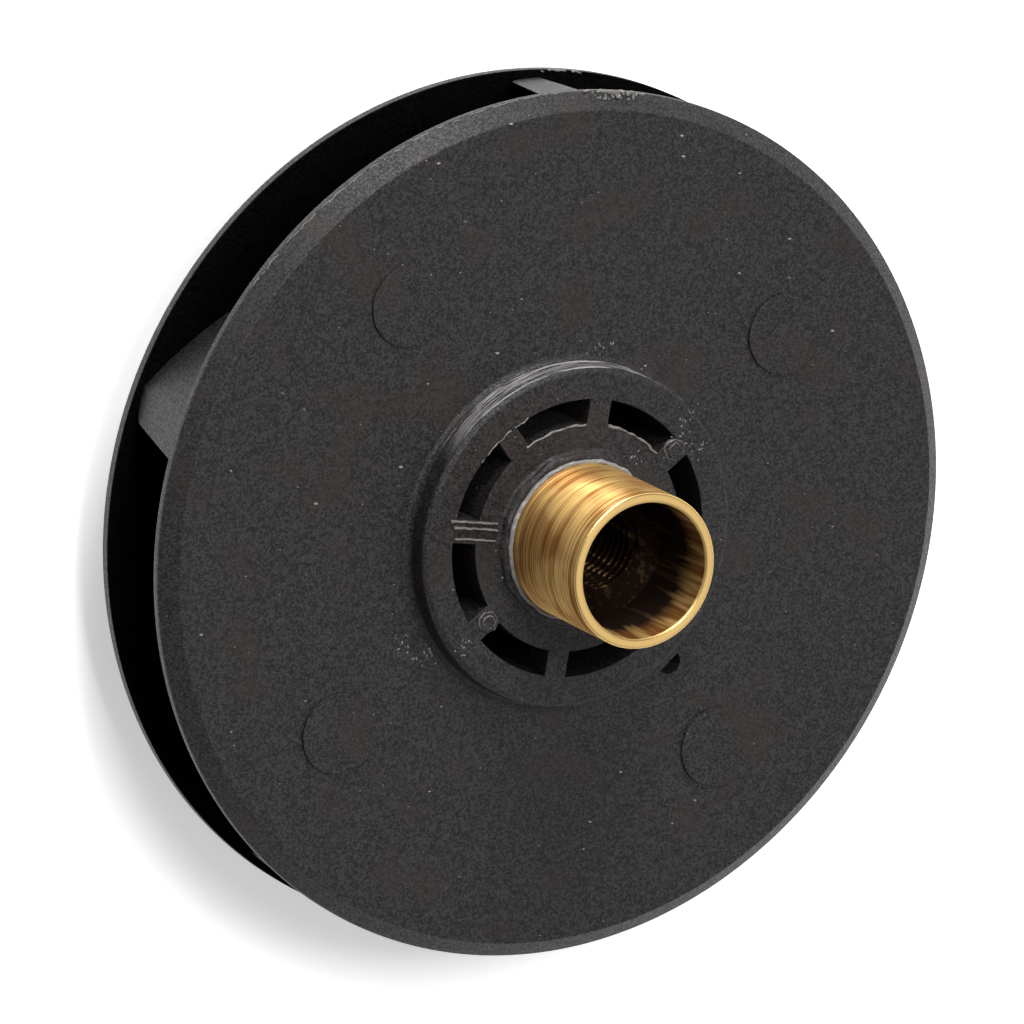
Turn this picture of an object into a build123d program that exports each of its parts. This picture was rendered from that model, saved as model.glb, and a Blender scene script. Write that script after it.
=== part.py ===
"""Closed pump impeller: a moulded back shroud with hub and vanes, a welded front shroud and a brass insert.

The axis of rotation is Z. The impeller rests on the face of its eye ring at Z = 0, with the brass sleeve up.
All sizes are in millimetres, and angles are in degrees, counterclockwise as seen from the brass side.
"""

import os
from math import cos, log, radians, sin, tan

from build123d import *

# Shrouds and outlet
rim_radius = 53.5
back_thickness = 3.1
front_rim_thickness = 1.4
front_root_thickness = 2.0
outlet_width = 11.9
rim_bevel_radial = 2.1
rim_bevel_axial = 1.7
front_slope = 5.0

# Suction eye
eye_projection = 6.5
eye_bore_radius = 22.6
eye_wall = 2.8
eye_turn_radius = 4.0
eye_entry_radius = 0.9
eye_corner_chamfer = 0.5
eye_root_fillet = 2.0

# Vanes
vane_count = 5
vane_angle = 27.0
vane_edge_thickness = 2.0
vane_draft = 1.2
vane_setback = 0.3
vane_end_lean = 3.85
vane_tip_angle = 171.3
vane_root_depth = 4.2
vane_lead_rake = 22.0

# Hub and raised ring
hub_foot_flare = 3.5
hub_waist_wall = 1.2
hub_nose_wall = 3.4
ring_wall = 3.9
ring_height = 3.6
ring_bevel_radial = 0.9
ring_bevel_axial = 0.45
ring_foot_fillet = 1.9
collar_wall = 1.1
collar_height = 0.8
collar_round = 0.5

# Cored pockets between the spokes
pocket_count = 8
pocket_inner_wall = 2.1
pocket_width = 3.1
pocket_depth = 9.0
spoke_width = 2.9

# Marks left by the mould
pad_count = 4
pad_radius = 5.0
pad_pitch_radius = 36.9
pad_height = 0.35
gate_radius = 1.2
gate_height = 0.3
gate_angles = (45.0, 225.0)
recess_angle = 319.2
recess_offset = 2.55
recess_radius = 1.44
recess_depth = 1.5

# Brass insert
sleeve_radius = 9.525
sleeve_projection = 16.1
tip_chamfer = 0.3
sleeve_wall = 1.275
counterbore_depth = 10.8
shoulder_width = 3.3
thread_lead_in = 0.6
thread_length = 15.5
drill_point_angle = 118.0
key_step = 0.775
key_top_drop = 3.0
key_length = 9.5
neck_depth = 0.6
neck_rise = 0.2
key_groove_depth = 1.2
key_groove_width = 2.2
key_chamfer = 1.0
spigot_step = 1.125
spigot_length = 1.8

# Radii that follow from the sizes above
eye_outer_radius = eye_bore_radius + eye_wall
vane_end_radius = rim_radius - vane_setback
counterbore_radius = sleeve_radius - sleeve_wall
thread_hole_radius = counterbore_radius - shoulder_width
spigot_radius = sleeve_radius - spigot_step
key_flat_radius = sleeve_radius + key_step
key_corner_radius = key_flat_radius / cos(radians(30))
pocket_inner_radius = key_corner_radius + pocket_inner_wall
pocket_outer_radius = pocket_inner_radius + pocket_width
ring_radius = pocket_outer_radius + ring_wall
hub_waist_radius = pocket_outer_radius + hub_waist_wall
hub_foot_radius = ring_radius + hub_foot_flare
vane_root_radius = ring_radius - vane_root_depth

# Heights that follow from the sizes above
slope_drop = (rim_radius - eye_outer_radius) * tan(radians(front_slope))
front_rim_z = eye_projection + slope_drop
channel_front_z = front_rim_z + front_rim_thickness
channel_back_z = channel_front_z + outlet_width
back_face_z = channel_back_z + back_thickness
ring_top_z = back_face_z + ring_height
sleeve_tip_z = ring_top_z + sleeve_projection
shoulder_z = sleeve_tip_z - counterbore_depth
key_top_z = ring_top_z - key_top_drop
key_bottom_z = key_top_z - key_length
insert_bottom_z = key_bottom_z - spigot_length
hub_nose_z = insert_bottom_z - hub_nose_wall

# Extra length of shapes that are joined, cut or trimmed
overlap = 1.0

# Points along each side of a vane, and level sections that it is lofted through
vane_points = 7
vane_levels = 4


def spun(*outline):
    """Turns a closed outline of (radius, height) points into a solid about the axis."""
    return revolve(Plane.XZ * make_face(Polyline(*outline, close=True)), Axis.Z)


def standing(place, radius, low, high):
    """An upright round boss at a place, between two heights."""
    return place * Pos(0, 0, low) * extrude(Circle(radius), high - low)


def rounded(profile, radius, *corners):
    """Fillets the corners of a flat profile that lie nearest the given (radius, height) points."""
    picked = [profile.vertices().sort_by_distance(Vector(*corner))[0] for corner in corners]
    return fillet(picked, radius)


def passage():
    """The water's space inside the front shroud: the eye, the turn and everything above the sloping wall."""
    wall_slope = (front_root_thickness - front_rim_thickness + slope_drop) / (rim_radius - eye_outer_radius)
    far = rim_radius + overlap
    turn = (eye_bore_radius, channel_front_z - wall_slope * (rim_radius - eye_bore_radius))
    outline = Polyline(
        (0, -overlap),
        (eye_bore_radius, -overlap),
        turn,
        (far, channel_front_z + wall_slope * overlap),
        (far, channel_back_z + overlap),
        (0, channel_back_z + overlap),
        close=True,
    )
    return revolve(Plane.XZ * rounded(make_face(outline), eye_turn_radius, turn), Axis.Z)


def vane_thickness(z):
    """The vane's thickness at a height: drafted, thin at its welded edge and thick at the back shroud."""
    return vane_edge_thickness + 2 * tan(radians(vane_draft)) * (z - channel_front_z)


def vane_section(z):
    """A level section of one vane: a spiral of constant angle with its thickness on both sides and a round nose."""
    half = vane_thickness(z) / 2
    start = vane_root_radius + tan(radians(vane_lead_rake)) * (channel_back_z - z)
    spiral = radians(vane_angle)

    def point(radius, sideways, forwards=0.0):
        angle = radians(vane_tip_angle) + log(radius / vane_end_radius) / tan(spiral)
        place = Vector(radius * cos(angle), radius * sin(angle), z)
        outward = Vector(cos(angle - spiral), sin(angle - spiral))
        onward = Vector(-sin(angle - spiral), cos(angle - spiral))
        return place + outward * sideways + onward * forwards

    def side(sideways):
        growth = ((rim_radius + overlap) / start) ** (1 / (vane_points - 1))
        return Spline(*[point(start * growth**step, sideways) for step in range(vane_points)])

    outer, inner = side(half), side(-half)
    nose = ThreePointArc(inner @ 0, point(start, 0, -half), outer @ 0)
    return make_face([outer, Line(outer @ 1, inner @ 1), inner, nose])


def vane():
    """One vane, with a raked leading edge, trimmed to the passage, its end leaning in towards the front shroud."""
    low = -overlap
    rise = (channel_back_z + overlap / 2 - low) / (vane_levels - 1)
    blade = loft([vane_section(low + rise * level) for level in range(vane_levels)])
    foot_radius = vane_end_radius - tan(radians(vane_end_lean)) * channel_back_z
    reach = Cone(foot_radius, vane_end_radius, channel_back_z, align=(Align.CENTER, Align.CENTER, Align.MIN))
    root = Pos(0, 0, channel_back_z) * extrude(Circle(vane_end_radius), overlap)
    return (blade & passage()) & (reach + root)


def pockets():
    """The cored pockets in the ring, cut from its top between straight spokes."""
    band = Circle(pocket_outer_radius) - Circle(pocket_inner_radius)
    for spoke in range(pocket_count // 2):
        band -= Rot(0, 0, spoke * 360 / pocket_count) * Rectangle(3 * pocket_outer_radius, spoke_width)
    return Pos(0, 0, ring_top_z - pocket_depth) * extrude(band, pocket_depth + overlap)


def hub_and_disc():
    """The back shroud with its hub: bell-shaped towards the water, with the raised ring on the other side."""
    ring_corner = (ring_radius, back_face_z)
    collar_radius = sleeve_radius + collar_wall
    collar_top = ring_top_z + collar_height
    dry_side = Polyline(
        (hub_foot_radius, channel_back_z),
        (rim_radius, channel_back_z),
        (rim_radius, back_face_z - rim_bevel_axial),
        (rim_radius - rim_bevel_radial, back_face_z),
        ring_corner,
        (ring_radius, ring_top_z - ring_bevel_axial),
        (ring_radius - ring_bevel_radial, ring_top_z),
        (collar_radius, ring_top_z),
        (collar_radius, collar_top),
        (0, collar_top),
        (0, hub_nose_z),
    )
    bell = Bezier(
        (0, hub_nose_z),
        (hub_waist_radius, hub_nose_z),
        (hub_waist_radius, channel_back_z),
        (hub_foot_radius, channel_back_z),
    )
    profile = rounded(make_face([dry_side, bell]), ring_foot_fillet, ring_corner)
    profile = rounded(profile, collar_round, (collar_radius, collar_top))
    return revolve(Plane.XZ * profile, Axis.Z)


def vaned_back_shroud():
    """The main moulding: disc, ring, hub and vanes in one piece, cast round the brass insert."""
    body = hub_and_disc()
    blade = vane()
    for place in range(vane_count):
        body += Rot(0, 0, place * 360 / vane_count) * blade
    for place in PolarLocations(pad_pitch_radius, pad_count, start_angle=180 / pad_count):
        body += standing(place, pad_radius, back_face_z - overlap, back_face_z + pad_height)
    spoke_radius = (pocket_outer_radius + pocket_inner_radius) / 2
    body -= pockets()
    for angle in gate_angles:
        place = Rot(0, 0, angle) * Pos(spoke_radius, 0, 0)
        body += standing(place, gate_radius, ring_top_z - overlap, ring_top_z + gate_height)
    half_round = Circle(recess_radius) & Pos(recess_radius, 0) * Rectangle(2 * recess_radius, 2 * recess_radius)
    recess = Rot(0, 0, recess_angle) * Pos(ring_radius + recess_offset, 0, back_face_z - recess_depth)
    body -= recess * extrude(half_round, recess_depth + overlap)
    return body - insert_blank()


def front_shroud():
    """The cover moulding: a thin sloping disc with the eye ring, welded to the edges of the vanes."""
    eye_corner = (eye_outer_radius, eye_projection)
    profile = make_face(
        Polyline(
            (0, 0),
            (eye_outer_radius, 0),
            eye_corner,
            (rim_radius, front_rim_z),
            (rim_radius, channel_back_z),
            (0, channel_back_z),
            close=True,
        )
    )
    profile = rounded(profile, eye_root_fillet, eye_corner)
    cover = revolve(Plane.XZ * profile, Axis.Z) - passage()
    foot = cover.edges().filter_by(GeomType.CIRCLE).group_by(Axis.Z)[0].sort_by(SortBy.RADIUS)
    cover = chamfer(foot[-1], eye_corner_chamfer)
    foot = cover.edges().filter_by(GeomType.CIRCLE).group_by(Axis.Z)[0].sort_by(SortBy.RADIUS)
    return fillet(foot[0], eye_entry_radius)


def insert_blank():
    """The outside of the brass insert: sleeve, neck in the plastic, hexagonal key with its groove, spigot."""
    groove_radius = key_flat_radius - key_groove_depth
    groove_middle = (key_top_z + key_bottom_z) / 2
    neck_top = ring_top_z + collar_height + neck_rise
    turned = spun(
        (0, insert_bottom_z),
        (spigot_radius, insert_bottom_z),
        (spigot_radius, key_bottom_z),
        (key_corner_radius - key_chamfer, key_bottom_z),
        (key_corner_radius, key_bottom_z + key_chamfer),
        (key_corner_radius, groove_middle - key_groove_width / 2),
        (groove_radius, groove_middle - key_groove_width / 2),
        (groove_radius, groove_middle + key_groove_width / 2),
        (key_corner_radius, groove_middle + key_groove_width / 2),
        (key_corner_radius, key_top_z - key_chamfer),
        (key_corner_radius - key_chamfer, key_top_z),
        (sleeve_radius - neck_depth, key_top_z),
        (sleeve_radius - neck_depth, neck_top),
        (sleeve_radius, neck_top),
        (sleeve_radius, sleeve_tip_z - tip_chamfer),
        (sleeve_radius - tip_chamfer, sleeve_tip_z),
        (0, sleeve_tip_z),
    )
    bar = Pos(0, 0, insert_bottom_z) * extrude(
        RegularPolygon(key_flat_radius, 6, major_radius=False), sleeve_tip_z - insert_bottom_z
    )
    return turned & bar


def brass_insert():
    """The turned insert: counterbore for the shaft, thread hole with a drill point, and chamfered tip."""
    thread_bottom = shoulder_z - thread_length
    point_height = thread_hole_radius / tan(radians(drill_point_angle / 2))
    bore = spun(
        (0, thread_bottom - point_height),
        (thread_hole_radius, thread_bottom),
        (thread_hole_radius, shoulder_z - thread_lead_in),
        (thread_hole_radius + thread_lead_in, shoulder_z),
        (counterbore_radius, shoulder_z),
        (counterbore_radius, sleeve_tip_z - tip_chamfer),
        (counterbore_radius + tip_chamfer, sleeve_tip_z),
        (counterbore_radius + tip_chamfer, sleeve_tip_z + overlap),
        (0, sleeve_tip_z + overlap),
    )
    return insert_blank() - bore


os.makedirs("parts", exist_ok=True)
for name, solid in {
    "vaned_back_shroud": vaned_back_shroud(),
    "front_shroud": front_shroud(),
    "brass_insert": brass_insert(),
}.items():
    export_step(solid, f"parts/{name}.step")
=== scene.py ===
# %% [markdown]
# # A closed pump impeller
# This lesson dresses a pump impeller for a studio picture. Two black plastic mouldings hold five curved
# vanes between them, and a brass sleeve with a shaft thread stands out of the back one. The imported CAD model
# is loaded first and stays as the fixed frame. Every visible surface is then remade over it in finer detail,
# in the same place and at the same size, and nothing that is added moves it.

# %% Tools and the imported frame
import random
from math import asin, atan2, cos, degrees, hypot, log, pi, radians, sin, tan

import bmesh
import bpy
from mathutils import Matrix, Vector, noise


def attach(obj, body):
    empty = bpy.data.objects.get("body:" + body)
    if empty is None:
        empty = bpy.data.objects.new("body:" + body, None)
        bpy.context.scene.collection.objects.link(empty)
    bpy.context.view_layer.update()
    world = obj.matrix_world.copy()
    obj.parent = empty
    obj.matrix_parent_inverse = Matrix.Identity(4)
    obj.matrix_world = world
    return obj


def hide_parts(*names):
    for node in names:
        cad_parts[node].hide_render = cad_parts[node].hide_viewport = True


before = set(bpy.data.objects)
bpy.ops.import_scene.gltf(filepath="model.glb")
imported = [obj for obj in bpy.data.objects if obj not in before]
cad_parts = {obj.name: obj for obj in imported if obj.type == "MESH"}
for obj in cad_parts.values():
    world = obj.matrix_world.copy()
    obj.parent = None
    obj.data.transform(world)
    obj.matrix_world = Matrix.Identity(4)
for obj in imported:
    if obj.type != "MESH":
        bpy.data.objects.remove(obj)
noise.seed_set(7)  # else Blender's noise vectors start from the time of day
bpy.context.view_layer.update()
mm = 0.001


def in_scene(name, data):
    """A new object in the scene."""
    made = bpy.data.objects.new(name, data)
    bpy.context.scene.collection.objects.link(made)
    return made


# %% [markdown]
# ## Camera
# The picture was taken from far away with a long lens, so the discs show hardly any perspective. A camera
# fitted to the two rims gives its place, its focal length and how it was turned. The part rests on its eye
# ring here, so the camera looks down at it and is rolled, and the picture still shows the disc upright.

# %% Camera
camera_data = bpy.data.cameras.new("studio_camera")
camera_data.lens, camera_data.sensor_width = 284.9, 36.0
camera_data.clip_start, camera_data.clip_end = 0.1, 20.0
camera = in_scene("studio_camera", camera_data)
camera_right = Vector((0.86211, 0.16194, 0.4802))
camera_up = Vector((-0.05086, 0.97047, -0.236))
camera_back = camera_right.cross(camera_up)
turn = Matrix((camera_right, camera_up, camera_back)).transposed().to_4x4()
camera.matrix_world = Matrix.Translation(Vector((-495.63, 175.30, 843.15)) * mm) @ turn
bpy.context.scene.camera = camera
print("camera distance in mm:", round(camera.location.length / mm))

# %% [markdown]
# ## Sizes
# These are the sizes of the CAD source, repeated in millimetres because this file reads nothing but the frame.
# Heights are above the face of the eye ring, on which the impeller rests. Angles are counterclockwise as seen
# from the brass side, and 0 is the middle of one spoke.

# %% Sizes in millimetres
rim_radius, vane_end_radius, vane_end_lean = 53.5, 53.2, 3.85
front_rim_z, channel_front_z, channel_back_z, back_face_z = 8.958, 10.358, 22.258, 25.358
eye_bore_radius, eye_outer_radius, eye_projection = 22.6, 25.4, 6.5
front_root_thickness = 2.0
ring_radius, ring_top_z, collar_radius, collar_top_z = 20.993, 28.958, 10.625, 29.758
pocket_inner_radius, pocket_outer_radius, pocket_depth, spoke_width = 13.993, 17.093, 9.0, 2.9
hub_waist_radius, hub_foot_radius, hub_nose_z = 18.293, 24.493, 11.258
key_flat_radius, key_corner_radius, key_bottom_z, key_top_z = 10.3, 11.893, 16.458, 25.958
insert_bottom_z, sleeve_tip_z, shoulder_z = 14.658, 45.058, 34.258
sleeve_radius, neck_radius, counterbore_radius, spigot_radius = 9.525, 8.925, 8.25, 8.4
thread_root_radius, thread_crest_radius, thread_pitch, thread_length = 5.56, 4.95, 1.27, 15.5
vane_count, vane_angle, vane_tip_angle, vane_root_radius = 5, 27.0, 171.3, 16.793
vane_edge_thickness, vane_draft, vane_weld_round, vane_nose_round = 2.0, 1.2, 1.8, 0.85
vane_foot_radius, vane_foot_z = 23.8, 5.0
rim_bevel_radial, rim_bevel_axial, face_loop_radius = 2.1, 1.7, 36.0
key_groove_radius, key_groove_bottom_z, key_groove_top_z, key_chamfer = 9.1, 20.108, 22.308, 1.0
pad_pitch_radius, pad_radius, pad_height = 36.9, 5.0, 0.35
recess_radius, recess_offset, recess_angle, recess_depth = 1.55, 2.55, 319.2, 2.2
wall_slope = (channel_front_z - front_root_thickness - eye_projection) / (rim_radius - eye_outer_radius)


# %% [markdown]
# ## Shaping helpers
# Most of the impeller is turned: a closed outline in the plane of the axis, swept once round it. An outline is
# a short list of points with their radius, height and how far the corner is rounded back. Each corner is
# rounded with the vertex bevel, as a lathe tool or a mould maker would break it, before the outline is spun.


# %% Shaping helpers
def whole(mesh):
    """All vertices, edges and faces of a mesh."""
    return mesh.verts[:] + mesh.edges[:] + mesh.faces[:]


def border_of(mesh):
    """The edges with one face only."""
    return [edge for edge in mesh.edges if len(edge.link_faces) == 1]


def round_off(mesh, geom, size, segments, affect="EDGES"):
    """Rounds edges or vertices back by a size in millimetres."""
    return bmesh.ops.bevel(mesh, geom=geom, offset=size * mm, offset_type="OFFSET", segments=segments, profile=0.5,
                           affect=affect, material=-1)


def sweep(mesh, geom, angle, steps, rise=0.0, **settings):
    """Spins geometry round Z by an angle, rising by some metres at each step."""
    return bmesh.ops.spin(mesh, geom=geom, cent=(0, 0, 0), axis=(0, 0, 1), dvec=(0, 0, rise), angle=angle,
                          steps=steps, **settings)


def mesh_data(mesh, name):
    """The mesh as data for an object. The working copy is freed."""
    data = bpy.data.meshes.new(name)
    mesh.to_mesh(data)
    mesh.free()
    return data


def outline(mesh, points, segments=3):
    """A closed outline of (radius, height, rounding) points in millimetres, with its corners rounded."""
    corners = [mesh.verts.new((radius * mm, 0, height * mm)) for radius, height, _ in points]
    for here, after in zip(corners, corners[1:] + corners[:1]):
        mesh.edges.new((here, after))
    for corner, (_, _, rounding) in zip(corners, points):
        if rounding:
            round_off(mesh, [corner], rounding, segments, "VERTICES")
    return mesh


def turn_round(mesh, steps):
    """Spins the outline once round Z and closes its seam and its poles."""
    sweep(mesh, mesh.verts[:] + mesh.edges[:], 2 * pi, steps, use_merge=True)
    close_up(mesh)


def close_up(mesh):
    """Merges doubles, drops slivers and turns all faces outwards."""
    bmesh.ops.remove_doubles(mesh, verts=mesh.verts[:], dist=0.002 * mm)
    bmesh.ops.dissolve_degenerate(mesh, edges=mesh.edges[:], dist=0.001 * mm)
    bmesh.ops.delete(mesh, geom=[edge for edge in mesh.edges if not edge.link_faces], context="EDGES")
    bmesh.ops.recalc_face_normals(mesh, faces=mesh.faces[:])


def finish_piece(mesh, name, finish, node, sharp=35.0, flats=True):
    """Makes a smooth-shaded piece of the mesh, with its finish, and lets it stand for a CAD node."""
    for face in mesh.faces:
        face.smooth = True
    for edge in mesh.edges:
        edge.smooth = len(edge.link_faces) == 2 and edge.calc_face_angle(0.0) < radians(sharp)
    open_edges = sum(len(edge.link_faces) != 2 for edge in mesh.edges)
    data = mesh_data(mesh, name)
    data.materials.append(finish)
    piece = in_scene(name, data)
    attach(piece, "root")
    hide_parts(node)
    if flats:
        even = piece.modifiers.new("flat_faces_stay_flat", "WEIGHTED_NORMAL")
        even.mode, even.keep_sharp = "FACE_AREA", True
    triangles = sum(len(polygon.vertices) - 2 for polygon in data.polygons)
    print(f"{name}: {triangles} triangles, {open_edges} open edges")
    return piece


def polar(radius, angle, height=0.0):
    """The point at a radius and an angle in degrees, in metres."""
    return Vector((radius * cos(radians(angle)), radius * sin(radians(angle)), height)) * mm


# %% [markdown]
# ## Materials
# Colours are given as sRGB hex values and turned to linear light by one function. One more function adds a
# node with its settings and links. Patterns read Object coordinates scaled to millimetres, so that a scale is
# simply one divided by the size of the grain.


# %% Material helpers
def linear(hex_colour):
    """An sRGB hex colour as linear red, green, blue and alpha."""
    parts = [int(hex_colour[i : i + 2], 16) / 255 for i in (1, 3, 5)]
    return [*((c / 12.92 if c <= 0.04045 else ((c + 0.055) / 1.055) ** 2.4) for c in parts), 1.0]


def add(tree, kind, inputs=None, **settings):
    """Adds a node with its settings. Each input is a value or another node's output."""
    made = tree.nodes.new(kind)
    for name, value in settings.items():
        setattr(made, name, value)
    for socket, value in (inputs or {}).items():
        if isinstance(value, bpy.types.NodeSocket):
            tree.links.new(value, made.inputs[socket])
        else:
            made.inputs[socket].default_value = value
    return made


def new_material(name):
    """An empty material with its surface output, and its Object coordinates in millimetres."""
    made = bpy.data.materials.new(name)
    made.use_nodes = True
    made.node_tree.nodes.clear()
    tree = made.node_tree
    place = add(tree, "ShaderNodeTexCoord").outputs["Object"]
    in_mm = add(tree, "ShaderNodeVectorMath", {0: place, "Scale": 1000.0}, operation="SCALE").outputs["Vector"]
    return made, tree, in_mm


def ramp(tree, value, low, high, to_low=0.0, to_high=1.0):
    """Maps low..high of a value smoothly to to_low..to_high."""
    return add(tree, "ShaderNodeMapRange",
               {"Value": value, "From Min": low, "From Max": high, "To Min": to_low, "To Max": to_high},
               interpolation_type="SMOOTHSTEP").outputs["Result"]


def reckon(tree, first, second, operation="ADD"):
    """One maths node on two values."""
    return add(tree, "ShaderNodeMath", {0: first, 1: second}, operation=operation).outputs[0]


def grain_of(tree, place, size, detail, roughness):
    """Noise with a grain size in millimetres, which is one number or one for each axis."""
    scale = 1.0 if isinstance(size, tuple) else 1 / size
    if isinstance(size, tuple):
        steps = tuple(1 / step for step in size)
        place = add(tree, "ShaderNodeMapping", {"Vector": place, "Scale": steps}).outputs[0]
    return add(tree, "ShaderNodeTexNoise",
               {"Vector": place, "Scale": scale, "Detail": detail, "Roughness": roughness}).outputs[0]


def blend_colour(tree, amount, under, over):
    """Mixes two colours by an amount."""
    mixed = add(tree, "ShaderNodeMix", {"Factor": amount}, data_type="RGBA")
    for socket, colour in (("A", under), ("B", over)):
        target = [s for s in mixed.inputs if s.name == socket and s.type == "RGBA"][0]
        if isinstance(colour, bpy.types.NodeSocket):
            tree.links.new(colour, target)
        else:
            target.default_value = colour
    return [s for s in mixed.outputs if s.type == "RGBA"][0]


# %% [markdown]
# ### Black moulded plastic
# The real one is a glass-filled engineering plastic, injection moulded in a plain steel mould. It is not quite
# black: glass fibres at the skin grey it, break its gloss and show as pale flecks a few tenths of a millimetre
# across, and use has left brownish stains and scuffs. Its gloss comes back at low angles, so its edges catch
# the white surroundings. The flecks are drawn from a Voronoi pattern, of which only a few cells are kept.


# %% Black moulded plastic
def fibre_flecks(tree, place):
    """Where a pale end of glass fibre shows: above 0 near the middle of a few cells, and 0 elsewhere."""
    spot = None
    for slant, size, share in ((0.0, 1.0, 0.90), (110.0, 2.2, 0.89)):
        laid = add(tree, "ShaderNodeMapping", {"Vector": place, "Rotation": (0, 0, radians(slant)),
                                               "Scale": (1 / size, 2 / size, 2 / size)}).outputs[0]
        fibre = add(tree, "ShaderNodeTexVoronoi", {"Vector": laid, "Scale": 1.0, "Randomness": 1.0})
        lot = add(tree, "ShaderNodeSeparateColor", {0: fibre.outputs["Color"]}).outputs
        width = ramp(tree, lot[1], 0.0, 1.0, 0.04, 0.13)
        near = reckon(tree, fibre.outputs["Distance"], width, "LESS_THAN")
        kept = reckon(tree, near, ramp(tree, lot[0], share, share + 0.07), "MULTIPLY")
        spot = kept if spot is None else reckon(tree, spot, kept, "MAXIMUM")
    return spot


def plastic(name, gloss=0.0, pale=0.0, dark=0.0, scratches_and_highlight=False):
    """Glass-filled plastic as moulded. Gloss lowers the roughness, for skin that never touched the mould. Pale greys
    the colour, for torn plastic, and is also a painted highlight on thin flash, ridges and the collar bead. Dark
    blackens it as painted shade, for walls in the passages. The scratch flag draws pale tool marks on the ring's
    wall only on the side that faces the lamps, so they are also a painted highlight."""
    made, tree, place = new_material(name)
    stain = grain_of(tree, place, 9, 2.0, 0.6)
    cloud = grain_of(tree, place, 1.1, 1.0, 0.8)
    grain = grain_of(tree, place, 0.30, 1.0, 0.8)
    colour = blend_colour(tree, ramp(tree, grain, 0.42, 0.62), linear("#060606"), linear("#343132"))
    colour = blend_colour(tree, ramp(tree, cloud, 0.45, 0.75, 0.0, 0.35), colour, linear("#3b3737"))
    colour = blend_colour(tree, ramp(tree, stain, 0.50, 0.72, 0.0, 0.5), colour, linear("#2b2420"))
    if not dark:
        colour = blend_colour(tree, reckon(tree, fibre_flecks(tree, place), 0.8, "MULTIPLY"), colour,
                              linear("#a8a29c"))
    # Pale greys the colour: real for torn plastic, and a painted highlight on the thin flash, ridges and collar
    # bead.
    if pale:
        colour = blend_colour(tree, pale, colour, linear("#b9b4ae"))
    # Painted shade: dark blackens the colour, for the walls in the passages that lie in shade.
    if dark:
        colour = blend_colour(tree, dark, colour, linear("#020202"))
    # Painted highlight: pale tool marks, drawn only where the ring's wall faces the lamps at 104 degrees, stand for
    # the light caught there.
    if scratches_and_highlight:
        lit_side = add(tree, "ShaderNodeVectorMath", {0: place, 1: polar(1000.0, 104.0)}, operation="DOT_PRODUCT")
        score = grain_of(tree, place, (5, 5, 0.22), 3.0, 0.75)
        scored_highlight = reckon(tree, ramp(tree, score, 0.44, 0.58),
                        ramp(tree, lit_side.outputs["Value"], 12.0, 18.5), "MULTIPLY")
        colour = blend_colour(tree, scored_highlight, colour, linear("#a8a4a8"))
    height = reckon(tree, grain, 0.026, "MULTIPLY")
    bump = add(tree, "ShaderNodeBump", {"Height": height, "Strength": 1.0, "Distance": 0.001})
    rough = ramp(tree, grain, 0.3, 0.7, 0.60 - gloss, 0.44 - gloss)
    skin = add(tree, "ShaderNodeBsdfPrincipled",
               {"Base Color": colour, "Roughness": rough, "IOR": 1.5, "Specular IOR Level": 0.38 - 0.4 * dark,
                "Normal": bump.outputs[0]})
    add(tree, "ShaderNodeOutputMaterial", {"Surface": skin.outputs[0]})
    return made


moulded_black = plastic("glass_filled_plastic_as_moulded")
# Pale as torn, stress-whitened plastic, and a painted highlight on the thin flash lines and ridges.
torn_and_highlight_black = plastic("glass_filled_plastic_torn_and_painted_highlight", gloss=0.2, pale=0.4)
# Painted highlight: this glossy skin is painted pale, for the shine along the bead round the sleeve.
highlight_skin_black = plastic("glass_filled_plastic_skin_painted_highlight", gloss=0.3, pale=0.55)
# Painted shade: a blackened plastic for the walls in the passages, which lie in shade.
painted_shade_black = plastic("glass_filled_plastic_painted_shade", dark=0.9)
# Tool marks with a painted highlight, for the ring's wall on its side towards the lamps.
scratched_and_highlight_black = plastic("glass_filled_plastic_scratched_and_painted_highlight", scratches_and_highlight=True)
print("materials:", [finish.name for finish in bpy.data.materials if finish.name.startswith("glass")])
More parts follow.
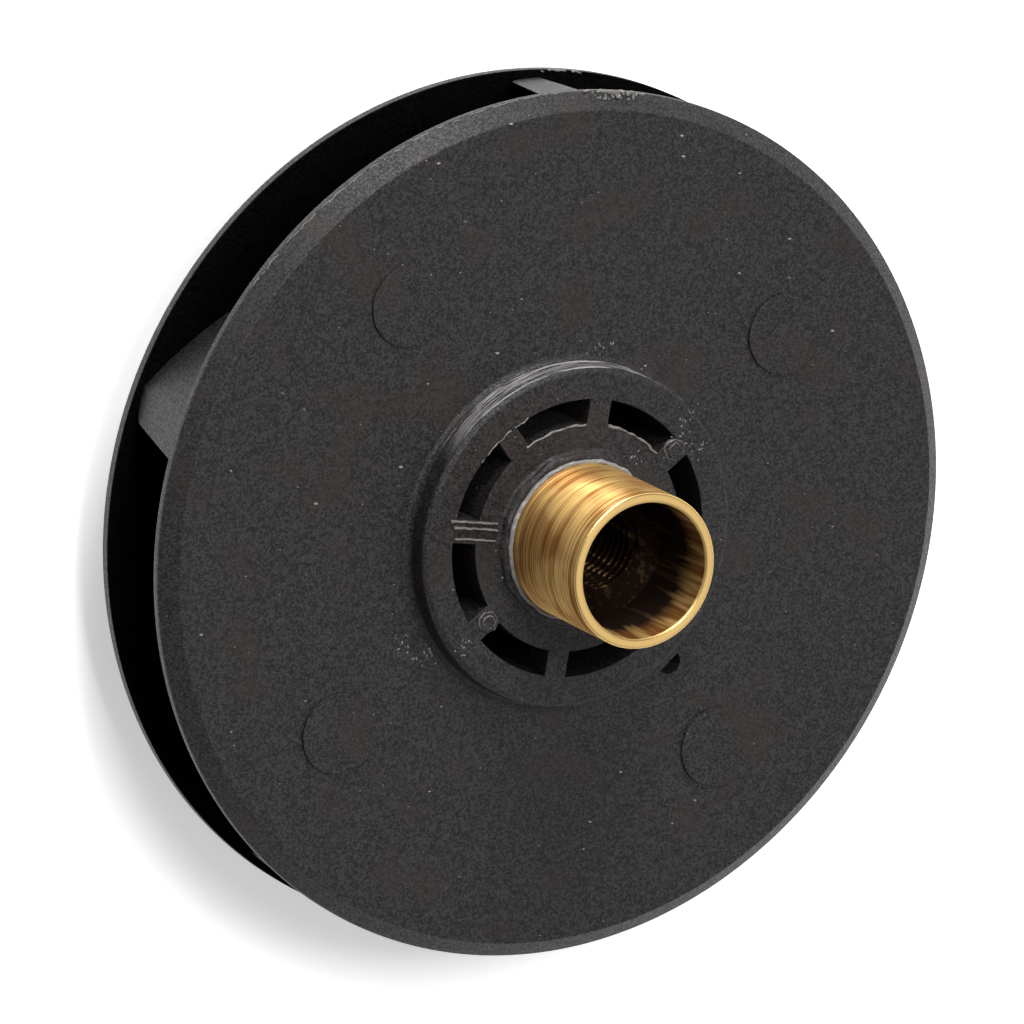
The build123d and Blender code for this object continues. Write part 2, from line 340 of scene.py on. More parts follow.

# %% [markdown]
# ### Turned brass
# The sleeve is turned from brass bar, so fine grooves run round it, and they spread its reflections along the
# axis: that is the shader's anisotropy, with its tangent laid round the axis. Water has tarnished it in brown
# bands that follow the grooves. The noise is squeezed along Z and stretched round the sleeve to give these
# bands. The tip's rim stays bright and the crests of the thread nearly so, while the bore is brown with darker
# runs down its wall, so radius decides where the bore's tarnish lies. Below the tip the bore is also painted
# darker the further down it goes: that is painted shade. Outside, the grooves are the rougher.


# %% Turned brass
def turned_brass(name, bright, dull, grooves):
    """Free-cutting brass, turned, with brown tarnish in bands and a dull, tarnished bore that is painted darker
    further down as painted shade. Bright and dull are the roughness of clean and of tarnished metal, and grooves
    is how strongly the turning marks spread a reflection."""
    made, tree, place = new_material(name)
    parts = add(tree, "ShaderNodeSeparateXYZ", {0: place})
    radius = reckon(tree, reckon(tree, parts.outputs[0], 2.0, "POWER"), reckon(tree, parts.outputs[1], 2.0, "POWER"))
    radius = reckon(tree, radius, 0.5, "POWER")
    band = grain_of(tree, place, (26, 26, 0.30), 3.0, 0.75)
    cloud = grain_of(tree, place, 8, 2.0, 0.6)
    run = grain_of(tree, place, (1.1, 1.1, 14), 2.0, 0.7)
    outside = reckon(tree, ramp(tree, band, 0.46, 0.60, 0.0, 0.7), ramp(tree, cloud, 0.42, 0.62, 0.0, 0.45))
    bore = ramp(tree, radius, counterbore_radius + 0.08, counterbore_radius + 0.2, 1.0, 0.0)
    inside = ramp(tree, run, 0.38, 0.60, 0.35, 1.0)
    outside = reckon(tree, outside, ramp(tree, bore, 0.0, 1.0, 1.0, 0.0), "MULTIPLY")
    tip = ramp(tree, parts.outputs[2], sleeve_tip_z - 0.24, sleeve_tip_z - 0.08)
    crest = ramp(tree, radius, thread_crest_radius + 0.05, thread_crest_radius + 0.22, 0.2, 0.0)
    tarnish = reckon(tree, reckon(tree, outside, reckon(tree, inside, bore, "MULTIPLY")), reckon(tree, tip, crest),
                     "SUBTRACT")
    tarnish = add(tree, "ShaderNodeClamp", {0: tarnish}).outputs[0]
    colour = blend_colour(tree, tarnish, linear("#e8c27c"), linear("#8f5a28"))
    # Painted shade: below the tip the bore is painted darker the further down it goes, on top of its tarnish.
    depth_shade = ramp(tree, parts.outputs[2], sleeve_tip_z - 7.0, sleeve_tip_z - 1.0, 1.3, 0.4)
    tarnish_and_depth_shade = reckon(tree, depth_shade, ramp(tree, tarnish, 0.0, 0.8, 0.55, 1.0), "MULTIPLY")
    tarnish_and_depth_shade = add(tree, "ShaderNodeClamp", {0: reckon(tree, bore, tarnish_and_depth_shade, "MULTIPLY")}).outputs[0]
    colour = blend_colour(tree, tarnish_and_depth_shade, colour, linear("#1c0e05"))
    groove = grain_of(tree, place, (40, 40, 0.16), 1.0, 0.6)
    bump = add(tree, "ShaderNodeBump", {"Height": groove, "Strength": 0.5, "Distance": 0.00003})
    rough = reckon(tree, ramp(tree, tarnish, 0.0, 1.0, bright, dull), reckon(tree, bore, 0.32, "MULTIPLY"))
    round_axis = add(tree, "ShaderNodeTangent", direction_type="RADIAL", axis="Z").outputs[0]
    skin = add(tree, "ShaderNodeBsdfPrincipled",
               {"Base Color": colour, "Metallic": 0.85, "Roughness": rough, "Normal": bump.outputs[0],
                "Anisotropic": grooves, "Anisotropic Rotation": 0.25, "Tangent": round_axis})
    add(tree, "ShaderNodeOutputMaterial", {"Surface": skin.outputs[0]})
    return made


brass = turned_brass("turned_brass_tarnished", 0.26, 0.48, 0.6)
grooved_brass = turned_brass("turned_brass_grooved_outside", 0.56, 0.68, 0.95)
print("materials:", brass.name, grooved_brass.name)

# %% [markdown]
# ## Back shroud and hub
# The main moulding is one turned outline: from the nose of the hub, down its bell-shaped water side and out
# along the disc to the bevelled rim, back over the flat face, up the raised ring and in to the sleeve. It is
# spun sector by sector, a narrow sector for each spoke and a wide one for each pocket, so that the pockets
# can be pushed in with an extrude between edges that are already in the right place.


# %% Back shroud and hub
def bell_points(count=7):
    """Points down the hub's water side, on the same curve as the CAD source."""
    ends = ((0, hub_nose_z), (hub_waist_radius, hub_nose_z), (hub_waist_radius, channel_back_z),
            (hub_foot_radius, channel_back_z))
    made = []
    for step in range(1, count + 1):
        t = step / (count + 1)
        weights = ((1 - t) ** 3, 3 * t * (1 - t) ** 2, 3 * t * t * (1 - t), t**3)
        made.append((*(sum(w * end[part] for w, end in zip(weights, ends)) for part in (0, 1)), 0))
    return made


back_outline = [
    (0, hub_nose_z, 0), *bell_points(), (hub_foot_radius, channel_back_z, 1.2),
    (rim_radius, channel_back_z, 0.6), (rim_radius, back_face_z - rim_bevel_axial, 0.18),
    (rim_radius - rim_bevel_radial, back_face_z, 0.12), (face_loop_radius, back_face_z, 0),
    (ring_radius, back_face_z, 1.0), (ring_radius, ring_top_z - 0.35, 0.2), (ring_radius - 0.6, ring_top_z, 0.2),
    (pocket_outer_radius, ring_top_z, 0), (pocket_inner_radius, ring_top_z, 0),
    (collar_radius + 0.35, ring_top_z, 0.3), (collar_radius, collar_top_z, 0.45), (neck_radius, collar_top_z, 0.1),
    (neck_radius, key_top_z, 0), (key_corner_radius, key_top_z, 0), (key_corner_radius, key_bottom_z, 0),
    (spigot_radius, key_bottom_z, 0), (spigot_radius, insert_bottom_z, 0), (0, insert_bottom_z, 0),
]
spoke_sector = 2 * asin(spoke_width / (pocket_inner_radius + pocket_outer_radius))
pocket_sector = 2 * pi / 8 - spoke_sector
print("spoke and pocket sectors in degrees:", round(degrees(spoke_sector), 2), round(degrees(pocket_sector), 2))

# %%
back = outline(bmesh.new(), back_outline)
newest = back.verts[:] + back.edges[:]
for sector, steps in [(spoke_sector, 7), (pocket_sector, 23)] * 8:
    newest = sweep(back, newest, sector, steps, use_merge=False)["geom_last"]
bmesh.ops.rotate(back, verts=back.verts[:], cent=(0, 0, 0), matrix=Matrix.Rotation(-spoke_sector / 2, 3, "Z"))
close_up(back)
print("turned disc:", len(back.verts), "vertices")


# %% [markdown]
# The spokes have parallel sides, so on the two edge circles of the pockets the vertices at the sector borders
# slide round to half a spoke's width from its middle line. Then the pocket faces are extruded downwards, and
# the new edges get the small round that a mould's core leaves.

# %% Pockets
pocket_edge = [v for v in back.verts if abs(v.co.z - ring_top_z * mm) < 0.01 * mm
               and pocket_inner_radius - 0.1 < hypot(v.co.x, v.co.y) / mm < pocket_outer_radius + 0.1]
for vertex in pocket_edge:
    radius, angle = hypot(vertex.co.x, vertex.co.y), atan2(vertex.co.y, vertex.co.x)
    middle = round(angle / (pi / 4)) * pi / 4
    if abs(abs(angle - middle) - spoke_sector / 2) < 0.002:
        side = asin(spoke_width * mm / 2 / radius) * (1 if angle > middle else -1)
        vertex.co.xy = Vector((cos(middle + side), sin(middle + side))) * radius
on_edge = set(pocket_edge)
band = [face for face in back.faces if all(v in on_edge for v in face.verts)]
floors = []
for face in band:
    centre = face.calc_center_median()
    angle = atan2(centre.y, centre.x)
    if abs(angle - round(angle / (pi / 4)) * pi / 4) > spoke_sector / 2:
        floors.append(face)
pushed = bmesh.ops.extrude_face_region(back, geom=floors)
bmesh.ops.translate(back, vec=(0, 0, -pocket_depth * mm),
                    verts=[item for item in pushed["geom"] if isinstance(item, bmesh.types.BMVert)])
bmesh.ops.delete(back, geom=[face for face in floors if face.is_valid], context="FACES")
print("pocket faces:", len(floors), "open edges:", sum(len(e.link_faces) != 2 for e in back.edges))

pocket_walls = {e for face in back.faces for e in face.edges
                if face.calc_center_median().z < ring_top_z * mm - mm
                and pocket_inner_radius - 0.3 < hypot(*face.calc_center_median().xy) / mm < pocket_outer_radius + 0.3
                and abs(face.normal.z) < 0.1}
mouth = [e for e in pocket_walls if all(v.co.z > (ring_top_z - 0.01) * mm for v in e.verts)]
round_off(back, mouth, 0.14, 2)
print("bevelled mouth edges:", len(mouth))


# %% [markdown]
# The brass insert is held by a hexagon cast into the hub. The hexagon is cut from the turned shape by pulling
# every vertex of that stretch in to the flat it lies behind. The same function shapes the plastic round it.

# %% Hexagonal key and the rough collar
def hexagon(mesh):
    """Pulls the key's vertices in to the six flats."""
    for vertex in mesh.verts:
        radius, height = hypot(*vertex.co.xy) / mm, vertex.co.z / mm
        if radius > sleeve_radius and key_bottom_z - 0.01 <= height <= key_top_z + 0.01 and radius < 12.5:
            angle = degrees(atan2(vertex.co.y, vertex.co.x)) % 60 - 30
            flat = key_flat_radius / cos(radians(angle))
            vertex.co.xy *= min(1.0, flat / radius)


hexagon(back)
for vertex in back.verts:
    radius, height = hypot(*vertex.co.xy) / mm, vertex.co.z / mm
    if 8.9 < radius < 11.2 and height > ring_top_z + 0.02:
        swell = noise.fractal(vertex.co / mm * 0.5, 0.6, 2.0, 3)
        vertex.co.z += swell * 0.20 * mm * (height - ring_top_z)
        if radius > 9.2:
            vertex.co.xy *= 1 + 0.035 * noise.noise(vertex.co / mm * 0.4 + Vector((7, 3, 1)))


# %% [markdown]
# A small half-round recess lies in the flat face beside the ring. It is the only shape here that lies across
# the turned faces, so a half-round cutter takes it out with a Boolean modifier, which is applied at once.

# %% Recess beside the ring
back_shroud = finish_piece(back, "back_shroud", moulded_black, "vaned_back_shroud")
cutter_mesh = bmesh.new()
bmesh.ops.create_cone(cutter_mesh, cap_ends=True, segments=32, radius1=(recess_radius - 0.05) * mm,
                      radius2=(recess_radius + 0.05) * mm, depth=2 * recess_depth * mm)
bmesh.ops.bisect_plane(cutter_mesh, geom=whole(cutter_mesh), plane_co=(0, 0, 0), plane_no=(-1, 0, 0),
                       clear_outer=True, dist=0.001 * mm)
bmesh.ops.edgeloop_fill(cutter_mesh, edges=border_of(cutter_mesh))
bmesh.ops.recalc_face_normals(cutter_mesh, faces=cutter_mesh.faces[:])
bmesh.ops.transform(cutter_mesh, verts=cutter_mesh.verts[:],
                    matrix=Matrix.Translation(polar(ring_radius + recess_offset, recess_angle, back_face_z)) @
                    Matrix.Rotation(radians(recess_angle), 4, "Z"))
cutter = in_scene("recess_cutter", mesh_data(cutter_mesh, "recess_cutter"))
recess = back_shroud.modifiers.new("recess", "BOOLEAN")
recess.object, recess.operation, recess.solver = cutter, "DIFFERENCE", "EXACT"
back_shroud.modifiers.move(1, 0)
before = len(back_shroud.data.polygons)
back_shroud.modifiers["flat_faces_stay_flat"].show_viewport = False
carved = bpy.data.meshes.new_from_object(back_shroud.evaluated_get(bpy.context.evaluated_depsgraph_get()))
back_shroud.modifiers.remove(recess)
back_shroud.modifiers["flat_faces_stay_flat"].show_viewport = True
back_shroud.data = carved
bpy.data.objects.remove(cutter)
carved.materials.append(scratched_and_highlight_black)
carved.materials.append(painted_shade_black)
# Painted shade: the water side of the back shroud, in the passages, takes the blackened plastic.
for polygon in carved.polygons:
    if polygon.center.z < (channel_back_z + 0.05) * mm and hypot(*polygon.center.xy) < (rim_radius - 0.5) * mm:
        polygon.material_index = 2
    # Painted highlight: the ring's wall on its upper half, towards the lamps, takes the pale scratch marks.
    if (abs(hypot(*polygon.center.xy) / mm - ring_radius) < 0.8 and polygon.center.z > (back_face_z + 0.5) * mm
            and polygon.center.y > 0 and abs(polygon.normal.z) < 0.6):
        polygon.material_index = 1
print("back shroud faces before and after the recess:", before, len(carved.polygons))

# %% [markdown]
# ## Front shroud
# The cover is one closed outline with the eye ring, the turn into the passage and the thin sloping disc. It is
# welded to the vanes, so its inner face lies on their edges.

# %% Front shroud
front = outline(bmesh.new(), [
    (eye_outer_radius, 0, 0.4), (eye_outer_radius, eye_projection, 1.9), (rim_radius, front_rim_z, 0.2),
    (rim_radius, channel_front_z, 0.2),
    (eye_bore_radius, channel_front_z - wall_slope * (rim_radius - eye_bore_radius), 3.4),
    (eye_bore_radius, 0, 0.9),
], segments=6)
turn_round(front, 240)
front_shroud = finish_piece(front, "front_shroud", moulded_black, "front_shroud")
# Painted shade: the front shroud's inner face, in the passages, takes the blackened plastic.
front_shroud.data.materials.append(painted_shade_black)
for polygon in front_shroud.data.polygons:
    polygon.material_index = int(polygon.normal.z > 0.5)


# %% [markdown]
# ## Vanes
# A vane keeps the same angle to the rim all along, so each step along it turns by the same angle and grows by
# the same factor. That is an extrude with a rotation and a scale, repeated from one upright edge at the hub. It
# goes on a little past the rim, so that the end can be cut there. The sheet is then given its thickness, drafted
# a little thicker towards the back shroud as the mould needs, and the edge that is welded to the front shroud
# is rounded on its inner side.

# %% Vanes
def front_wall(radius):
    """Height of the front shroud's inner face at a radius in millimetres."""
    return channel_front_z - wall_slope * (rim_radius - radius)


def front_edge(radius):
    """Height at which a vane's front edge lies: on the sloping wall, or sunk in the turn of the eye."""
    return front_wall(radius) - 0.04 if radius > 26 else front_wall(26) - 0.04 - 1.05 * (26 - radius)


def back_edge(radius):
    """Height at which a vane's back edge lies: in the back shroud, and under the pockets close to the hub."""
    return min(channel_back_z + 0.3, ring_top_z - pocket_depth - 0.4 + 1.5 * max(0.0, radius - 19.0))


vane = bmesh.new()
spiral, steps, levels, sheet_end_radius = radians(vane_angle), 48, 4, 56.0
length_angle = log(sheet_end_radius / vane_root_radius) / tan(spiral)
growth = (sheet_end_radius / vane_root_radius) ** (1 / steps)
start_angle = vane_tip_angle - degrees(log(vane_end_radius / vane_root_radius) / tan(spiral))
line = [vane.verts.new(polar(vane_root_radius, start_angle, level / (levels - 1))) for level in range(levels)]
newest = [vane.edges.new(pair) for pair in zip(line, line[1:])]
for _ in range(steps):
    made = bmesh.ops.extrude_edge_only(vane, edges=newest)
    newest = [item for item in made["geom"] if isinstance(item, bmesh.types.BMEdge)]
    moved = [item for item in made["geom"] if isinstance(item, bmesh.types.BMVert)]
    bmesh.ops.rotate(vane, verts=moved, cent=(0, 0, 0), matrix=Matrix.Rotation(length_angle / steps, 3, "Z"))
    bmesh.ops.scale(vane, verts=moved, vec=(growth, growth, 1))
for vertex in vane.verts:
    radius = hypot(*vertex.co.xy) / mm
    low, high = front_edge(radius), back_edge(radius)
    vertex.co.z = (low + vertex.co.z / mm * (high - low)) * mm
print("vane sheet:", len(vane.faces), "faces")

# %% [markdown]
# The leading edge slopes, so that the eye stays open: the sheet is cut through its two ends by a plane that
# stands square to it. The sheet is then doubled, each copy is moved to its own side by half the thickness,
# and the two borders are bridged. Bevels round the nose fully, and the welded edge on the inner side. The outer
# end is cut last, so that the cut runs clean through the bevel: level with the rim at the back, leaning in a
# little towards the front shroud.


# %% Vane thickness, nose and edges
def spiral_point(radius, height):
    """A point on the vane's middle surface."""
    return polar(radius, vane_tip_angle + degrees(log(radius / vane_end_radius) / tan(spiral)), height)


def outward(place):
    """The sideways direction of the vane at a place, away from the axis."""
    angle = atan2(place.y, place.x) - spiral
    return Vector((cos(angle), sin(angle), 0))


lead_top = spiral_point(vane_root_radius, channel_back_z + 0.3)
lead_foot = spiral_point(vane_foot_radius, vane_foot_z)
square = outward((lead_top + lead_foot) / 2)
cut_normal = (lead_foot - lead_top).cross(square).normalized()
cut_normal = cut_normal if cut_normal.dot(lead_top - spiral_point(40, 15)) > 0 else -cut_normal
bmesh.ops.bisect_plane(vane, geom=whole(vane), plane_co=lead_top, plane_no=cut_normal, clear_outer=True,
                       dist=0.001 * mm)
twin = bmesh.ops.duplicate(vane, geom=whole(vane))
inner_side = {item for item in twin["geom"] if isinstance(item, bmesh.types.BMVert)}
for vertex in vane.verts:
    thickness = vane_edge_thickness + 2 * tan(radians(vane_draft)) * (vertex.co.z / mm - channel_front_z)
    vertex.co += outward(vertex.co) * thickness / 2 * mm * (-1 if vertex in inner_side else 1)
bmesh.ops.bridge_loops(vane, edges=border_of(vane))
bmesh.ops.recalc_face_normals(vane, faces=vane.faces[:])
print("vane:", len(vane.faces), "faces,", sum(len(e.link_faces) != 2 for e in vane.edges), "open edges")


def is_inner(vertex):
    """Whether a vertex lies on the vane's inner side."""
    radius = hypot(*vertex.co.xy) / mm
    middle = vane_tip_angle + degrees(log(radius / vane_end_radius) / tan(spiral))
    return (degrees(atan2(vertex.co.y, vertex.co.x)) - middle + 180) % 360 - 180 > 0


corner = [edge for edge in vane.edges if len(edge.link_faces) == 2 and edge.calc_face_angle(0.0) > radians(50)]
nose = [edge for edge in corner if all(abs((v.co - lead_top).dot(cut_normal)) < 0.6 * mm for v in edge.verts)
        and (edge.verts[0].co - edge.verts[1].co).length > 0.8 * mm]
weld = [edge for edge in corner if edge not in nose and all(is_inner(v) for v in edge.verts)
        and all(abs(v.co.z / mm - front_edge(hypot(*v.co.xy) / mm)) < 0.6 for v in edge.verts)]
print("nose edges:", len(nose), "weld edges:", len(weld))
round_off(vane, weld, vane_weld_round, 5)
round_off(vane, [edge for edge in nose if edge.is_valid], vane_nose_round, 4)
lean = radians(vane_end_lean)
end_normal = polar(cos(lean), vane_tip_angle, -sin(lean)).normalized()
bmesh.ops.bisect_plane(vane, geom=whole(vane), plane_co=polar(vane_end_radius, vane_tip_angle, channel_back_z),
                       plane_no=end_normal, clear_outer=True, dist=0.001 * mm)
bmesh.ops.edgeloop_fill(vane, edges=border_of(vane))
bmesh.ops.recalc_face_normals(vane, faces=vane.faces[:])
tip = [edge for edge in vane.edges if len(edge.link_faces) == 2 and edge.calc_face_angle(0.0) > radians(40)
       and all(hypot(*v.co.xy) / mm > vane_end_radius - 1.6 for v in edge.verts)
       and abs(edge.verts[0].co.z - edge.verts[1].co.z) > 1.5 * mm]
round_off(vane, tip, 0.12, 2)
sweep(vane, whole(vane), 2 * pi * (vane_count - 1) / vane_count, vane_count - 1, use_duplicate=True)
finish_piece(vane, "vanes", moulded_black, "vaned_back_shroud", sharp=40.0)

# %% [markdown]
# ## Brass insert
# The insert is turned too. Its outline runs up the outside over the hexagon's chamfers and groove, over the
# tip, and down the counterbore to the thread's core. The thread is real: a small ridge in section, spun along
# the bore with a rise of one pitch for each turn, and rooted a little in the wall.

# %% Brass insert
insert = outline(bmesh.new(), [
    (0, insert_bottom_z, 0), (spigot_radius, insert_bottom_z, 0.3), (spigot_radius, key_bottom_z, 0),
    (key_corner_radius - key_chamfer, key_bottom_z, 0), (key_corner_radius, key_bottom_z + key_chamfer, 0),
    (key_corner_radius, key_groove_bottom_z, 0), (key_groove_radius, key_groove_bottom_z, 0),
    (key_groove_radius, key_groove_top_z, 0), (key_corner_radius, key_groove_top_z, 0),
    (key_corner_radius, key_top_z - key_chamfer, 0), (key_corner_radius - key_chamfer, key_top_z, 0),
    (neck_radius, key_top_z, 0), (neck_radius, collar_top_z + 0.2, 0), (sleeve_radius, collar_top_z + 0.2, 0.12),
    (sleeve_radius, sleeve_tip_z, 0.28), (counterbore_radius, sleeve_tip_z, 0.3),
    (counterbore_radius, shoulder_z, 0.15), (thread_root_radius + 0.5, shoulder_z, 0),
    (thread_root_radius, shoulder_z - 0.5, 0), (thread_root_radius, shoulder_z - thread_length, 0),
    (0, shoulder_z - thread_length - 3.0, 0),
])
turn_round(insert, 216)
hexagon(insert)
brass_insert = finish_piece(insert, "brass_insert", brass, "brass_insert", flats=False)
brass_insert.data.materials.append(grooved_brass)
for polygon in brass_insert.data.polygons:
    outside = hypot(*polygon.center.xy) > (sleeve_radius - 0.1) * mm
    polygon.material_index = int(outside and abs(polygon.normal.z) < 0.3)

thread = bmesh.new()
foot = shoulder_z - thread_length + 0.9
section = [(thread_root_radius + 0.25, foot - 0.72), (thread_crest_radius, foot - 0.1),
           (thread_crest_radius, foot + 0.1), (thread_root_radius + 0.25, foot + 0.72)]
ridge = thread.faces.new([thread.verts.new((radius * mm, 0, height * mm)) for radius, height in section])
turns, steps_a_turn = 11, 64
sweep(thread, [ridge, *ridge.edges, *ridge.verts], 2 * pi * turns, turns * steps_a_turn,
      thread_pitch * mm / steps_a_turn, use_merge=False)
close_up(thread)
finish_piece(thread, "shaft_thread", brass, "brass_insert", sharp=30.0, flats=False)


# %% [markdown]
# ## Marks of the mould
# Four flat pads, two gate marks and three short ridges stand on the back, and thin flash stands where the
# mould's parts met: along the pockets, on the rim and round the sleeve. They are small, but they are what makes
# the moulding look like a real one. Each starts from a circle or a short line, and seeded noise roughens it.


# %% Pads and gate marks
def roughen(verts, size, amount, seed):
    """Moves vertices by smooth noise of a grain size, by up to an amount, both in millimetres."""
    for vertex in verts:
        vertex.co += noise.noise_vector(vertex.co / mm / size + Vector((seed, 2 * seed, 3 * seed))) * amount * mm


def boss(mesh, centre, radius, height, segments, rounding):
    """A round boss on a level surface, sunk a little in it, with its top edge rounded."""
    made = bmesh.ops.create_circle(mesh, cap_ends=True, segments=segments, radius=radius * mm,
                                   matrix=Matrix.Translation(centre - Vector((0, 0, 0.4 * mm))))
    raised = bmesh.ops.extrude_face_region(mesh, geom=made["verts"][0].link_faces[:], use_keep_orig=True)
    top = [item for item in raised["geom"] if isinstance(item, bmesh.types.BMVert)]
    bmesh.ops.translate(mesh, verts=top, vec=(0, 0, (height + 0.4) * mm))
    rim = [e for e in mesh.edges if e.verts[0] in top and e.verts[1] in top]
    return list(dict.fromkeys(v for face in round_off(mesh, rim, rounding, 2)["faces"] for v in face.verts))


marks = bmesh.new()
for number, angle in enumerate((45, 135, 225, 316)):
    rim = boss(marks, polar(pad_pitch_radius, angle, back_face_z), pad_radius, pad_height, 72, 0.1)
    roughen(rim, 1.3, 0.06, number)
for number, (radius, angle) in enumerate(((16.1, 45.9), (15.05, 225.7))):
    for size, height in ((1.3, 0.16), (0.85, 0.34)):
        rim = boss(marks, polar(radius, angle, ring_top_z), size, height, 24, 0.08)
        roughen(rim, 0.6, 0.22, 5 + number + size)
bmesh.ops.recalc_face_normals(marks, faces=marks.faces[:])
pads = finish_piece(marks, "pads_and_gates", moulded_black, "vaned_back_shroud")
pads.data.materials.append(torn_and_highlight_black)
for polygon in pads.data.polygons:
    polygon.material_index = int(hypot(*polygon.center.xy) < 20 * mm and polygon.normal.z < 0.95)


# %% Flash and ridges
def bead(mesh, radius, height, start, end, width, seed, wobble=0.15):
    """A thin line of flash along an arc, with an uneven width and rise."""
    made = bmesh.ops.create_circle(mesh, cap_ends=True, segments=8, radius=width / 2 * mm,
                                   matrix=Matrix.Translation((radius * mm, 0, height * mm)) @
                                   Matrix.Rotation(pi / 2, 4, "X"))
    ring = made["verts"]
    geom = list(dict.fromkeys([*ring, *(e for v in ring for e in v.link_edges),
                               *(f for v in ring for f in v.link_faces)]))
    before = set(mesh.verts) - set(ring)
    bmesh.ops.rotate(mesh, verts=ring, cent=(0, 0, 0), matrix=Matrix.Rotation(radians(start), 3, "Z"))
    count = max(3, round(radius * radians(end - start) / 0.35))
    sweep(mesh, geom, radians(end - start), count, use_merge=False)
    roughen([v for v in mesh.verts if v not in before], 0.8, wobble, seed)


flash = bmesh.new()
bead(flash, pocket_inner_radius + 0.02, ring_top_z + 0.03, 52, 84, 0.30, 11)
bead(flash, pocket_inner_radius + 0.02, ring_top_z + 0.03, 97, 131, 0.30, 12)
bead(flash, pocket_outer_radius + 0.05, ring_top_z, 124, 150, 0.16, 13)
bead(flash, rim_radius - 0.12, back_face_z - 1.72, 88, 97, 0.34, 14, 0.3)
bead(flash, rim_radius - 0.1, back_face_z - 1.72, 100, 150, 0.12, 15, 0.06)
bead(flash, rim_radius - 0.15, channel_front_z - 0.1, 89, 95, 0.3, 16, 0.2)
for number, (offset, end) in enumerate(((1.25, -17.9), (0.52, -17.4), (-0.86, -16.9))):
    start, before = -11.4, set(flash.verts)
    made = bmesh.ops.create_cube(flash, size=1.0, matrix=Matrix.Translation(
        Vector(((start + end) / 2, offset, ring_top_z + 0.08)) * mm) @
        Matrix.Diagonal(Vector(((start - end) * mm, 0.2 * mm, (0.6 if number < 2 else 0.2) * mm, 1))))
    long_edges = list(dict.fromkeys(e for v in made["verts"] for e in v.link_edges
                                    if abs(e.verts[0].co.x - e.verts[1].co.x) > mm))
    bmesh.ops.subdivide_edges(flash, edges=long_edges, cuts=14, use_grid_fill=True)
    roughen([v for v in flash.verts if v not in before], 0.9, 0.12, 20 + number)
bmesh.ops.recalc_face_normals(flash, faces=flash.faces[:])
# Painted highlight: the flash lines and ridges take the pale torn plastic, which shows as light along them.
finish_piece(flash, "flash_lines", torn_and_highlight_black, "vaned_back_shroud", sharp=60.0)

# %% [markdown]
# Crumbs of torn plastic cling to the rim, where flash was broken off, and beside the ring, where a tool slipped.
# Each is a small ball with few faces, flattened and roughened until no two are alike.

# %% Crumbs of torn plastic
crumbs, dice = bmesh.new(), random.Random(7)
places = [polar(rim_radius - dice.uniform(0.05, 0.9), dice.uniform(89.5, 97.0), back_face_z - dice.uniform(0.7, 1.9))
          for _ in range(60)]
for radius, angle, height in ((22.5, 223, back_face_z), (24.9, 217, back_face_z), (22.2, 228, back_face_z),
                              (19.2, 227, ring_top_z), (18.9, 40, ring_top_z), (16.9, 48, ring_top_z),
                              (20.2, 52, ring_top_z), (22.5, 88, back_face_z), (11.9, 60, ring_top_z)):
    places += [polar(radius, angle, height) + Vector((dice.gauss(0, 0.8), dice.gauss(0, 0.8), 0)) * mm
               for _ in range(12)]
for number, place in enumerate(places):
    size = dice.uniform(0.05, 0.15) * mm * (1.6 if number < 60 else 1.0)
    made = bmesh.ops.create_icosphere(crumbs, subdivisions=1, radius=size, matrix=Matrix.Translation(place) @
                                      Matrix.Rotation(dice.uniform(0, pi), 4, "Z") @
                                      Matrix.Diagonal((1.7, 0.9, 0.6, 1)))
    roughen(made["verts"], 0.3, 0.35 * size / mm, number)
finish_piece(crumbs, "torn_crumbs", torn_and_highlight_black, "vaned_back_shroud", flats=False)

# %% [markdown]
# The plastic was cast round the sleeve, and its last skin rose along the brass as a glossy, uneven bead. It is
# a thin ring with ten points in section, swollen and lowered by noise as it goes round.

# %% Bead round the sleeve
collar_bead = bmesh.new()
bmesh.ops.create_circle(collar_bead, cap_ends=False, segments=10, radius=0.30 * mm,
                        matrix=Matrix.Translation(((sleeve_radius + 0.16) * mm, 0, (collar_top_z + 0.1) * mm)) @
                        Matrix.Rotation(pi / 2, 4, "X"))
turn_round(collar_bead, 240)
for vertex in collar_bead.verts:
    place = vertex.co / mm
    vertex.co += Vector((place.x / 12, place.y / 12, 1)) * noise.fractal(place * 0.4, 0.5, 2.0, 3) * 0.22 * mm
# Painted highlight: the bead is painted pale, for the shine along it.
finish_piece(collar_bead, "collar_bead", highlight_skin_black, "vaned_back_shroud", sharp=70.0)

# %% [markdown]
# ## Floor and light
# The floor is white paper. It keeps the shadow that falls on it, and only for the camera and for reflections
# it is a little brighter than paper can be, so no extra light reaches the object from it. The room is white as
# well. Reflections see it dim overhead and at the left, apart from one pale panel that the flat brass tip
# mirrors. Two soft lamps shine from above the picture, so the shadow falls towards its lower edge.

# %% Floor and room
floor_mesh = bmesh.new()
bmesh.ops.create_grid(floor_mesh, x_segments=1, y_segments=1, size=3.0)
floor = in_scene("paper_floor", mesh_data(floor_mesh, "paper_floor"))
paper, tree, _ = new_material("white_paper")
rays = add(tree, "ShaderNodeLightPath").outputs
seen = reckon(tree, reckon(tree, rays["Is Camera Ray"], rays["Is Glossy Ray"], "MAXIMUM"),
              rays["Is Transmission Ray"], "MAXIMUM")
shade = ramp(tree, seen, 0.0, 1.0, 0.85, 1.3)
grey = add(tree, "ShaderNodeCombineColor", {0: shade, 1: shade, 2: shade}).outputs[0]
matt = add(tree, "ShaderNodeBsdfDiffuse", {"Color": grey})
lift = add(tree, "ShaderNodeEmission", {"Color": (1, 1, 1, 1), "Strength": reckon(tree, seen, 0.42, "MULTIPLY")})
both = add(tree, "ShaderNodeAddShader", {0: matt.outputs[0], 1: lift.outputs[0]})
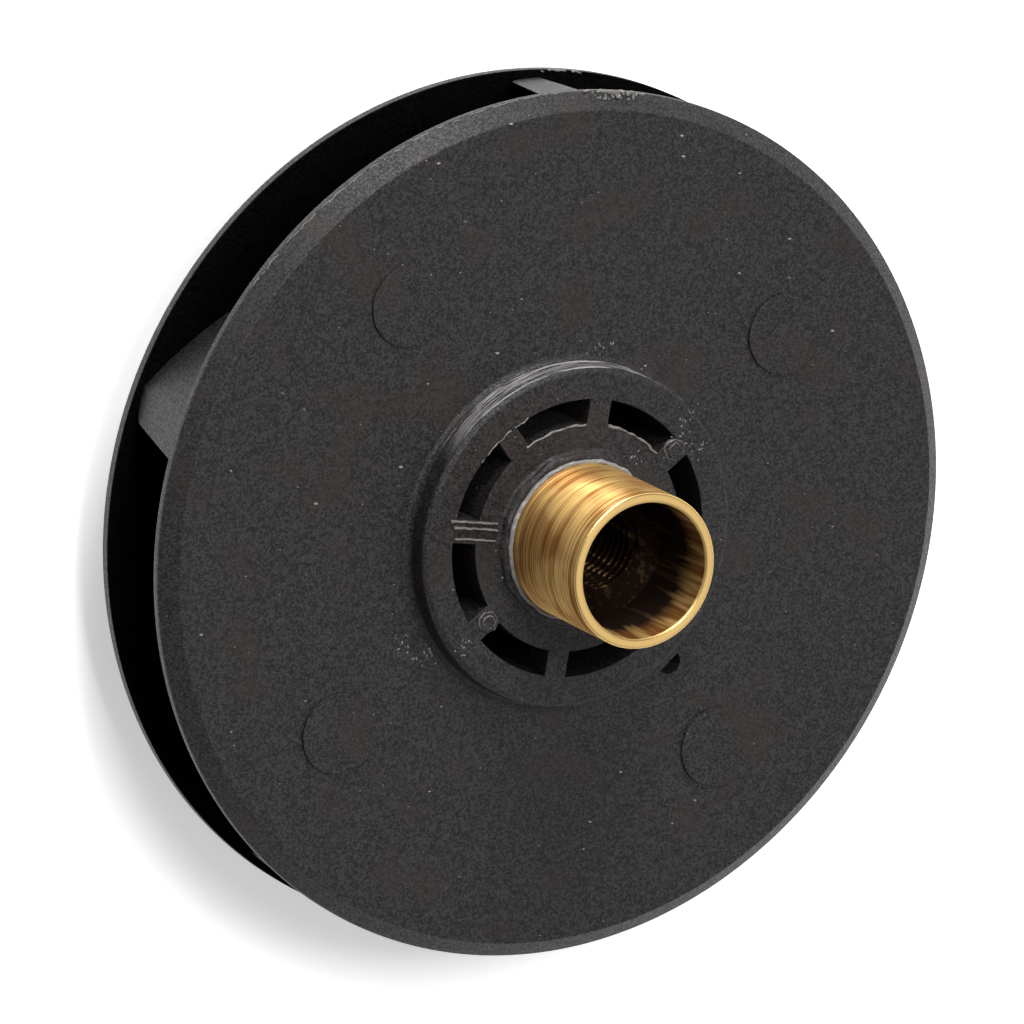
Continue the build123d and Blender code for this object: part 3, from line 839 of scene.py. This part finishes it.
add(tree, "ShaderNodeOutputMaterial", {"Surface": both.outputs[0]})
floor.data.materials.append(paper)

room = bpy.data.worlds.new("white_room")
bpy.context.scene.world = room
room.use_nodes = True
tree = room.node_tree
tree.nodes.clear()
rays = add(tree, "ShaderNodeLightPath").outputs
ray = add(tree, "ShaderNodeTexCoord").outputs["Generated"]
sides = add(tree, "ShaderNodeSeparateXYZ", {0: ray}).outputs
walls = reckon(tree, ramp(tree, sides[2], 0.35, 0.66, 1.0, 0.12), ramp(tree, sides[0], -0.75, -0.25, 0.3, 1.0),
               "MULTIPLY")
aside = add(tree, "ShaderNodeVectorMath", {0: ray, 1: (0.50, -0.18, 0.85)}, operation="DOT_PRODUCT").outputs["Value"]
dim = reckon(tree, walls, ramp(tree, aside, 0.90, 0.98), "MAXIMUM")
mirrored = reckon(tree, rays["Is Glossy Ray"], rays["Is Transmission Ray"], "MAXIMUM")
strength = reckon(tree, reckon(tree, mirrored, dim, "MULTIPLY"), rays["Is Camera Ray"], "MAXIMUM")
strength = reckon(tree, strength, 0.2, "MAXIMUM")
light = add(tree, "ShaderNodeBackground", {"Color": (1, 1, 1, 1), "Strength": strength})
add(tree, "ShaderNodeOutputWorld", {"Surface": light.outputs[0]})
print("floor and room:", floor.name, room.name)


# %% Lamps
def softbox(name, direction, distance, size, level):
    """A square soft lamp that faces the impeller from a direction. Level is the brightness that it alone gives
    to a white face that looks up."""
    towards = Vector(direction).normalized()
    lamp_data = bpy.data.lights.new(name, "AREA")
    lamp_data.shape, lamp_data.size = "SQUARE", size
    lamp_data.energy = level * (pi * distance) ** 2 / towards.z
    lamp = in_scene(name, lamp_data)
    lamp.matrix_world = (Matrix.Translation(towards * distance + Vector((0, 0, 0.02))) @
                         towards.to_track_quat("Z", "Y").to_matrix().to_4x4())


softbox("top_softbox", (-0.16, 0.88, 0.44), 1.6, 0.5, 0.30)
softbox("overhead_softbox", (-0.10, 0.36, 0.93), 1.5, 0.5, 0.50)
bpy.context.scene.view_settings.view_transform = "Standard"
